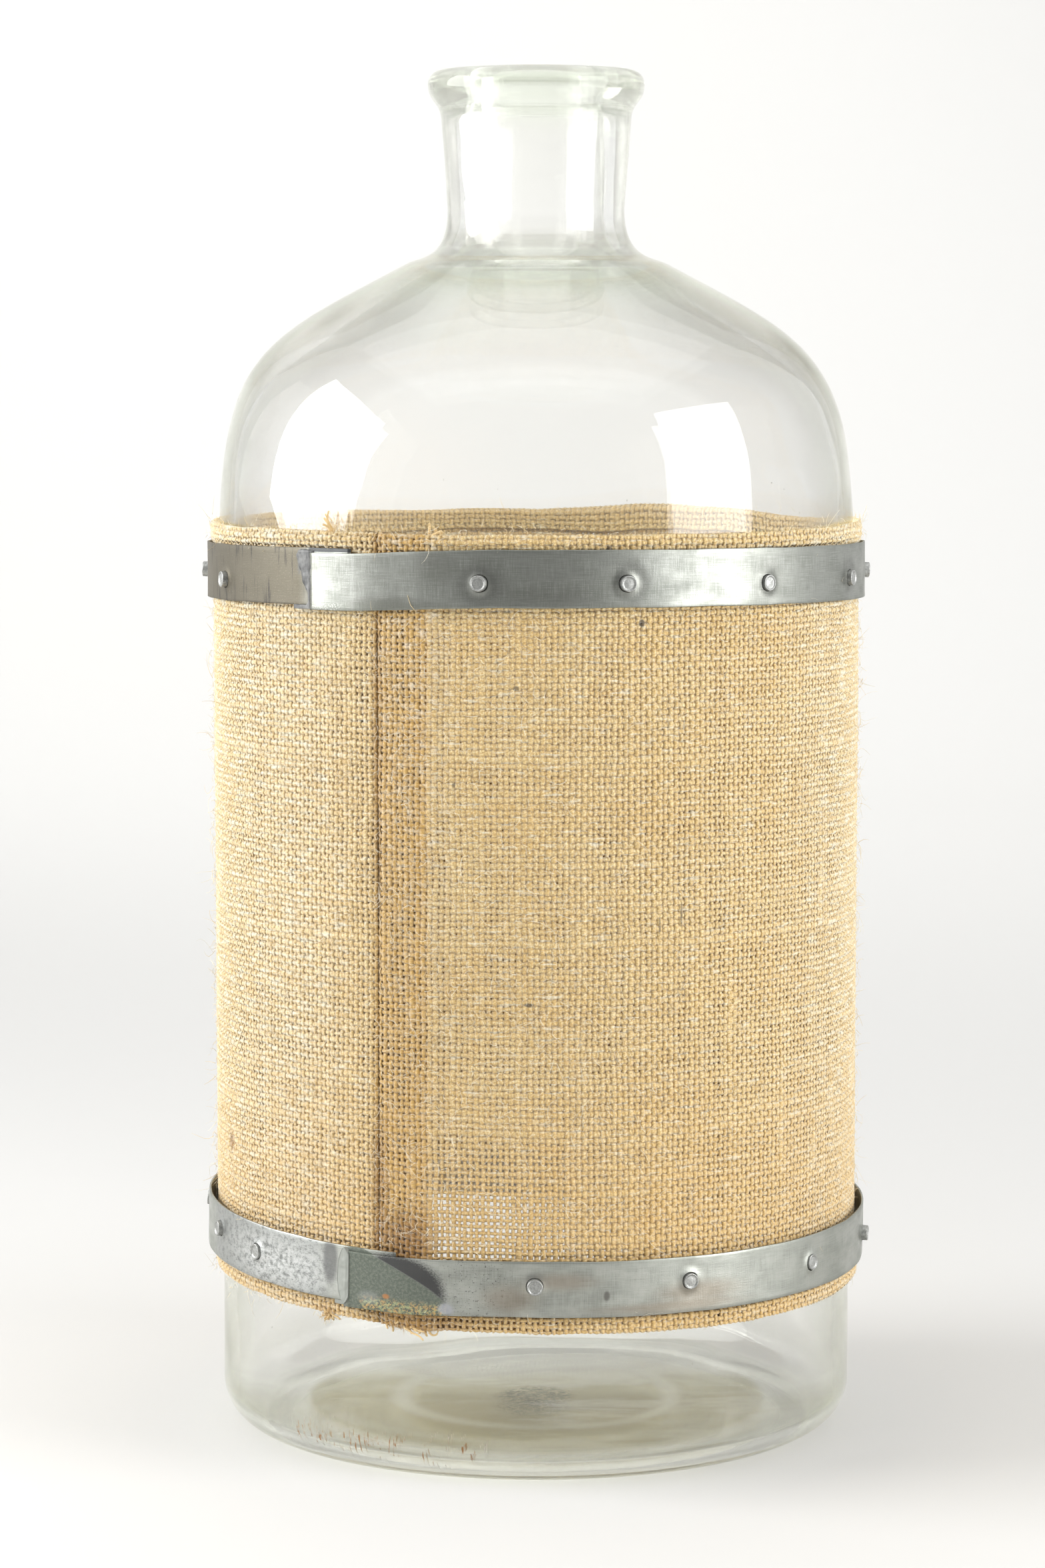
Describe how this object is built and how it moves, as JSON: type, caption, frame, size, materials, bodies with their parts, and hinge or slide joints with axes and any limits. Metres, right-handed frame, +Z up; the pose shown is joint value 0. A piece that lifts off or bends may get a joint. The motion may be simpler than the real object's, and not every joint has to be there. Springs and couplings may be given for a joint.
{
  "type": "glass carboy",
  "caption": "Large clear glass carboy with a short flared neck and rolled lip, in a sewn burlap sleeve held by riveted and soldered zinc strip bands.",
  "frame": {"origin": "middle of the flat ring that the bottle stands on, on the bottle's axis", "axes": "+Z up along the bottle's axis; the front, with the sleeve's seam and both laps on its left, faces -Y; +X is to the right seen from the front"},
  "size_m": [0.2663, 0.2673, 0.5335],
  "materials": {
    "glass": "polished, thick, faint green tint",
    "burlap": "open plain weave jute, coarse and fuzzy",
    "twine": "twisted jute twine",
    "zinc_strip": "dull spangled zinc with stains and scratches",
    "solder": "dull grey solder",
    "rivet": "cut zinc-coated shank, bright bevelled edge"
  },
  "bodies": {
    "root": {"glass_bottle": "glass", "burlap_sleeve": "burlap", "seam_twine": "twine", "top_band": "zinc_strip", "top_band_solder": "solder", "top_rivet_01": "rivet", "top_rivet_02": "rivet", "top_rivet_03": "rivet", "top_rivet_04": "rivet", "top_rivet_05": "rivet", "top_rivet_06": "rivet", "top_rivet_07": "rivet", "top_rivet_08": "rivet", "top_rivet_09": "rivet", "top_rivet_10": "rivet", "top_rivet_11": "rivet", "top_rivet_12": "rivet", "bottom_band": "zinc_strip", "bottom_band_solder": "solder", "bottom_rivet_01": "rivet", "bottom_rivet_02": "rivet", "bottom_rivet_03": "rivet", "bottom_rivet_04": "rivet", "bottom_rivet_05": "rivet", "bottom_rivet_06": "rivet", "bottom_rivet_07": "rivet", "bottom_rivet_08": "rivet", "bottom_rivet_09": "rivet", "bottom_rivet_10": "rivet", "bottom_rivet_11": "rivet", "bottom_rivet_12": "rivet"}
  },
  "joints": []
}
